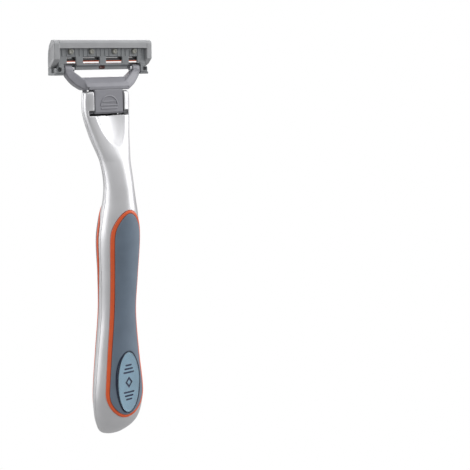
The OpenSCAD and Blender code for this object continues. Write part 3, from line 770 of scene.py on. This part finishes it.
def foot_field(ax, y, z):
    """The lug that carries the pin, the shoe, and the web at the end."""
    out = block(ax, y, z, (LUG_X, POST_IN), (8.1, 10.85), (39.8, 42.5), 0.15)
    out = joined(out, block(ax, y, z, (LUG_X, FOOT_X), (8.1, 10.85), (39.8, 41.5), 0.15), 0.1)
    out = joined(out, block(ax, y, z, (LUG_X, FOOT_X), (10.4, 12.7), (39.0, 40.75), 0.2), 0.1)
    out = joined(out, block(ax, y, z, (LUG_X, SHOE_HALF), (8.4, 12.7), (39.0, 39.8), 0.2), 0.12)
    return joined(out, block(ax, y, z, (18.4, SHOE_HALF), (10.4, 12.7), (39.0, 41.5), 0.2), 0.12)


def guard_frame_field(x, y, z):
    ax = np.abs(x)
    out = bar(x, y, z, [(8.3, 42.3), (8.3, 47.9), (9.0, 47.9), (9.0, 41.7)], POST_IN, 0.08, 0.12)
    beam = bar(x, y, z, [(9.0, 40.7), (9.0, 42.8), (10.85, 42.8), (10.85, 40.7)], POST_IN, 0.08, 0.12)
    out = joined(joined(out, beam, 0.15), foot_field(ax, y, z), 0.12)
    # ribs across the recess above the windows
    rib = np.abs(((ax - 0.9) % 1.7 + 0.85) % 1.7 - 0.85) - 0.13
    ribs = common(rib, block(ax, y, z, (0.3, 16.9), (8.1, 8.5), (45.3, 47.9), 0.05), 0.06)
    for stake in STAKES:
        ribs = cut(ribs, np.abs(ax - stake) - 1.2)
    out = joined(out, ribs, 0.06)
    for middle, half in ((4.65, 3.35), (12.6, 1.8)):
        out = cut(out, block(ax, y, z, (middle - half, middle + half), (7.9, 9.3), (42.8, 45.1), 0.25), 0.1)
    # room for the yoke's arm, the pin's bearing, and a blind hole with a rim
    out = cut(out, block(ax, y, z, (LUG_X - 5, LUG_X), (7, 10.6), (38, 42.85), 0.12), 0.1)
    out = cut(out, rod(y - PIVOT[0], z - PIVOT[1], ax, 0.75, (15.3, 16.5)), 0.05)
    out = cut(out, rod(ax - HOLE_AT[0], z - HOLE_AT[1], y, 0.8, (7.5, 9.3)), 0.12)
    rim = np.abs(np.hypot(ax - HOLE_AT[0], z - HOLE_AT[1]) - 0.95) - 0.1
    out = joined(out, common(rim, np.abs(y - 8.25) - 0.2, 0.05), 0.05)
    for stake in STAKES:
        out = cut(out, rod(ax - stake, z - STAKE_Z, y, 0.52, (8, 9.2)))
    gate = np.hypot(np.maximum(ax - 0.62, 0), z - 41.55) - 0.62
    return cut(out, common(gate, block(x, y, z, (-2, 2), (8, 11), (40, 43))), 0.06)


def cap_frame_field(x, y, z):
    ax = np.abs(x)
    crown = [(8.3 + 1.2 * math.cos(math.radians(a)), 49.6 + 1.2 * math.sin(math.radians(a)))
             for a in range(170, 80, -15)]
    out = bar(x, y, z, [(7.1, 47.95), (7.1, 49.2), *crown, CAP_CORNER, (11.3, 48.7), (10.9, 48.25),
                        (10.6, 47.9), (10.6, 46.65), (9.0, 46.65), (9.0, 47.95)], POST_IN, 0.05, 0.14)
    v, w = turned(y, z, CAP_CORNER, CAP_SLOPE)
    out = cut(out, block(x, v, w, (-STRIP_HALF, STRIP_HALF), (0.22, 2.78), (-0.72, 1), 0.05), 0.06)
    side = outline(y, z, filleted(
        [(9.0, 42.5), (7.1, 44.4), (7.1, 49.6), (7.4, 50.4), (8.3, 50.8), CAP_CORNER, (11.3, 48.9),
         (12.35, 46.5), (12.7, 43.6), (12.7, 41.5), (10.6, 41.5)], 0.35))
    outer = ax - HEAD_HALF + POST_TAPER * np.maximum(y - 9, 0)
    outer = outer / np.where(y > 9, math.hypot(1, POST_TAPER), 1)
    post = common(side, common(outer, POST_IN - ax, 0.28), 0.28)
    out = joined(out, post, 0.1)
    # fine ribs down the outer side of each post
    rib = np.abs((y - 7.9) % 0.9 - 0.15) - 0.16
    rib = common(rib, np.maximum(side + 0.35, np.abs(z - 46.9 + 0.5 * (y - 8)) - 2.3), 0.06)
    return joined(out, common(rib, np.abs(outer) - RIB, 0.06), 0.05)


def stake_field(x, y, z):
    out = None
    for stake in STAKES:
        u, w = np.abs(x) - stake, z - STAKE_Z
        v = w + HEAD_DROP
        head = common(rod(u, v, y, 0.98, (7.55, 8.28), 0.1),
                      ellipsoid(u, y - 8.28, v, (1.3, 0.73, 1.3)), 0.1)
        # dimple in the middle of each head
        head = cut(head, ellipsoid(u, y - 7.5, v, (0.55, 0.3, 0.55)), 0.08)
        pin = joined(head, rod(u, w, y, 0.5, (8.0, 10.1), 0.05))
        out = pin if out is None else joined(out, pin)
    return out


def guard_bar_field(x, y, z):
    # fine fins across the soft bar
    fins = 0.05 * np.cos(2 * math.pi * x / 0.62) * np.clip((y - 11.2) / 0.5, 0, 1)
    body = joined(np.hypot(y - 11.6, z - 41.95) - 1.0 + fins,
                  block(x, y, z, (-STRIP_HALF, STRIP_HALF), (10.87, 11.6), (40.95, 42.9), 0.1), 0.1)
    return common(body, np.abs(x) - STRIP_HALF, 0.15)


def gate_field(x, y, z):
    out = common(np.hypot(np.maximum(np.abs(x) - 0.6, 0), z - 41.55) - 0.58,
                 np.abs(y - 9.88) - 0.98, 0.15)
    return cut(out, ellipsoid(x, y - 8.7, z - 41.55, (1.0, 0.4, 0.45)), 0.05)


def cap_plate_field(x, y, z):
    out = bar(x, y, z, [(11.3, 48.69), (12.1, 46.85), (11.95, 46.68), (10.6, 46.68), (10.6, 47.9),
                        (10.9, 48.25)], STRIP_HALF, 0.1, 0.12)
    # oval dimples, with soft pips between them lower down
    v, w = turned(y, z, (12.15, 47.7), -25)
    for k in range(5):
        at = 4.5 * (k - 2)
        dimple = np.hypot(np.maximum(np.abs(x - at) - 0.6, 0), w) - 0.4
        out = cut(out, common(dimple, np.abs(v + 0.1) - 0.35, 0.1), 0.08)
    for k in range(6):
        pip = ellipsoid(x - 4.5 * (k - 2.5), y - 11.98, z - 47.1, (0.62, 0.2, 0.24))
        out = joined(out, pip, 0.1)
    return out


def lube_field(x, y, z):
    v, w = turned(y, z, CAP_CORNER, CAP_SLOPE)
    out = block(x, v, w, (-STRIP_HALF, STRIP_HALF), (0.27, 2.73), (-0.68, 0.18), 0.16)
    # two shallow furrows along the strip
    for at in (1.1, 1.9):
        out = cut(out, np.hypot(v - at, w - 0.34) - 0.2, 0.05)
    return common(out, 5 - y)


for name, finish, field, cell, nodes in (
    ("head_frame", FRAME, guard_frame_field, HEAD_CELL, ("guard_frame",)),
    ("head_cap", CAP, cap_frame_field, HEAD_CELL, ("cap_frame",)),
    ("stakes", STAKE, stake_field, 0.09, ("stake_pins",)),
    ("guard", GUARD, guard_bar_field, (0.1, 0.11, 0.11), ("guard_bar",)),
    ("glide_plate", PLATE, cap_plate_field, (0.13, 0.1, 0.1), ("cap_plate",)),
    ("glide_strip", STRIP, lube_field, (0.16, 0.1, 0.1), ("lube_strip",)),
):
    low, high = node_box(nodes[0])
    slot = {"stakes": "frame_plastic"}.get(name)
    solid(name, "head", finish, field, low, high, cell, nodes, slot)
solid("guard_gate", "head", GATE, gate_field, (-1.3, 8.8, 40.8), (1.3, 10.9, 42.3), 0.07,
      slot="orange_guard")

# CAD nodes whose shape stays, with their own finish; the near-black supports and spacers are painted shade
for node, finish in (
    ("handle_weight", WEIGHT), ("blade_1", STEEL), ("blade_2", STEEL), ("blade_3", STEEL),
    ("blade_support_1", PRESSED_SHADE), ("blade_support_2", PRESSED_SHADE), ("blade_support_3", PRESSED_SHADE),
    ("spacer_lower", SPACER_SHADE), ("spacer_upper", SPACER_SHADE),
):
    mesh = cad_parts[node].data
    mesh.materials.clear()
    mesh.materials.append(finish.mat)

# ------------------------------------------------------------------ studio

FLOOR_Z = -0.2
FLOOR_HALF = 6              # half the floor's width
AMBIENT = 0.71              # light that reaches the razor from the surroundings
BACKDROP = 1.0              # how bright the surroundings look


def surroundings(tree, shader, out):
    """Plain white to the eye, and a softer light on everything else."""
    in_world = shader.bl_idname == "ShaderNodeBackground"
    bright = tree.nodes.new("ShaderNodeBackground" if in_world else "ShaderNodeEmission")
    bright.inputs["Color"].default_value = (1, 1, 1, 1)
    bright.inputs["Strength"].default_value = BACKDROP
    mix = tree.nodes.new("ShaderNodeMixShader")
    tree.links.new(tree.nodes.new("ShaderNodeLightPath").outputs["Is Camera Ray"], mix.inputs[0])
    tree.links.new(shader.outputs[0], mix.inputs[1])
    tree.links.new(bright.outputs[0], mix.inputs[2])
    tree.links.new(mix.outputs[0], out.inputs["Surface"])


floor_mesh = bpy.data.meshes.new("floor")
FLOOR_CORNERS = ((-1, -1), (1, -1), (1, 1), (-1, 1))
floor_mesh.from_pydata([(u * FLOOR_HALF, v * FLOOR_HALF, FLOOR_Z) for u, v in FLOOR_CORNERS],
                       [], [(0, 1, 2, 3)])
floor = bpy.data.objects.new("floor", floor_mesh)
bpy.context.scene.collection.objects.link(floor)
pale = Finish("floor", (0.35, 0.35, 0.35), 0.8)
floor_mesh.materials.append(pale.mat)
surroundings(pale.tree, pale.shader, pale.tree.nodes["Material Output"])

world = bpy.data.worlds.new("studio")
bpy.context.scene.world = world
world.use_nodes = True
sky = world.node_tree.nodes["Background"]
sky.inputs["Color"].default_value = (1, 1, 1, 1)
sky.inputs["Strength"].default_value = AMBIENT
surroundings(world.node_tree, sky, world.node_tree.nodes["World Output"])


def softbox(name, place, aim, size, watts):
    lamp = bpy.data.objects.new(name, bpy.data.lights.new(name, "AREA"))
    bpy.context.scene.collection.objects.link(lamp)
    lamp.data.shape = "RECTANGLE"
    lamp.data.size, lamp.data.size_y = size
    lamp.data.energy = watts
    lamp.location = place
    lamp.rotation_mode = "QUATERNION"
    lamp.rotation_quaternion = (Vector(aim) - Vector(place)).to_track_quat("-Z", "Y")
    lamp.visible_camera = False


softbox("key", (0.75, -0.45, 0.30), (0, 0, 0), (0.6, 0.9), 4.6)
softbox("left", (-0.66, 0.60, 0.22), (0, 0, 0), (0.7, 0.9), 4.2)
softbox("top", (0.05, -0.15, 0.85), (0, 0, 0), (0.7, 0.5), 3.0)
softbox("back", (0.45, 0.75, 0.30), (0, 0, 0), (0.5, 0.7), 2.5)
bpy.context.scene.view_settings.view_transform = "Standard"
